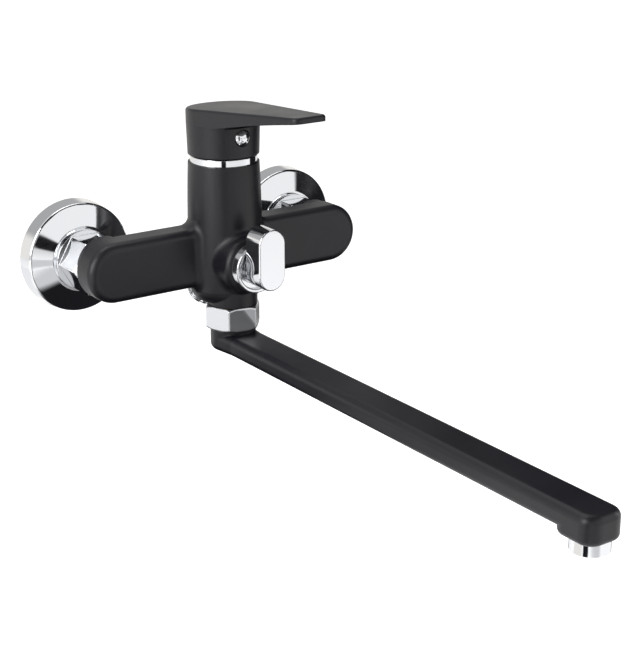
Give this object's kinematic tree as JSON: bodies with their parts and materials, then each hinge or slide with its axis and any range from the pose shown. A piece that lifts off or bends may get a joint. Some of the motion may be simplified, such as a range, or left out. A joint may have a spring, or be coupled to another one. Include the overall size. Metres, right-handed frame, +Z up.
{
  "type": "bath mixer tap",
  "caption": "Wall-mounted single-lever bath and shower mixer: blended body on chrome wall unions, rising lever, paddle diverter knob and a long flat swivel spout.",
  "frame": {"origin": "where the axis of the left wall inlet meets the finished wall", "axes": "+Y into the wall, the user stands at -Y, +Z up, +X to the right as seen by the user"},
  "size_m": [0.2186, 0.4002, 0.1667],
  "materials": {
    "black_coat": "satin black coating",
    "chrome": "bright chrome plate",
    "brass": "machined brass",
    "rubber": "matt rubber",
    "white_plastic": "moulded plastic",
    "disc_ceramic": "lapped ceramic",
    "steel": "ground steel"
  },
  "bodies": {
    "tap_body": {"mixer_body": "black_coat", "escutcheon_left": "chrome", "escutcheon_right": "chrome", "union_nut_left": "chrome", "union_nut_right": "chrome", "eccentric_union_left": "brass", "eccentric_union_right": "brass", "union_gasket_left": "rubber", "union_gasket_right": "rubber", "inlet_tail_left": "brass", "inlet_tail_right": "brass", "trim_ring": "chrome", "cartridge_housing": "white_plastic", "cartridge_base": "white_plastic", "cartridge_base_seals": "rubber", "fixed_ceramic_disc": "disc_ceramic", "cartridge_nut": "brass", "diverter_bonnet": "chrome", "diverter_housing": "brass", "diverter_housing_ring": "rubber", "diverter_fixed_disc": "disc_ceramic", "spout_nut": "chrome", "outlet_nipple": "brass", "shower_nipple": "chrome", "shower_nipple_ring": "rubber"},
    "temperature_sleeve": {"spindle_yoke": "white_plastic", "lever_pin": "steel"},
    "lever": {"cartridge_spindle": "brass", "lever_handle": "black_coat", "handle_grub_screw": "steel", "handle_plug": "chrome"},
    "disc_slider": {"disc_carrier": "white_plastic", "moving_ceramic_disc": "disc_ceramic"},
    "diverter_handle": {"diverter_knob": "chrome", "diverter_spindle": "brass", "diverter_moving_disc": "disc_ceramic", "diverter_spindle_ring": "rubber", "knob_grub_screw": "steel"},
    "swivel_spout": {"spout": "black_coat", "spout_split_ring": "white_plastic", "spout_o_rings": "rubber", "aerator_housing": "chrome", "aerator_insert": "white_plastic", "aerator_washer": "rubber"}
  },
  "joints": [
    {"name": "lever_temperature", "type": "hinge", "parent": "tap_body", "child": "temperature_sleeve", "pos_m": [0.075, -0.0562, 0.057], "axis": [0, 0, 1], "range_deg": [-50, 50]},
    {"name": "lever_flow", "type": "hinge", "parent": "temperature_sleeve", "child": "lever", "pos_m": [0.075, -0.0562, 0.057], "axis": [-1, 0, 0], "range_deg": [0, 25]},
    {"name": "disc_slide", "type": "slide", "parent": "temperature_sleeve", "child": "disc_slider", "axis": [0, -1, 0], "range_m": [0, 0.0045]},
    {"name": "diverter_turn", "type": "hinge", "parent": "tap_body", "child": "diverter_handle", "pos_m": [0.075, -0.1012, 0.01], "axis": [0, -1, 0], "range_deg": [0, 90]},
    {"name": "spout_swivel", "type": "hinge", "parent": "tap_body", "child": "swivel_spout", "pos_m": [0.075, -0.0636, -0.03], "axis": [0, 0, 1], "range_deg": [-90, 90]}
  ],
  "couplings": [
    {"joint": "disc_slide", "follows": "lever_flow", "m_per_rad": 0.00985}
  ]
}
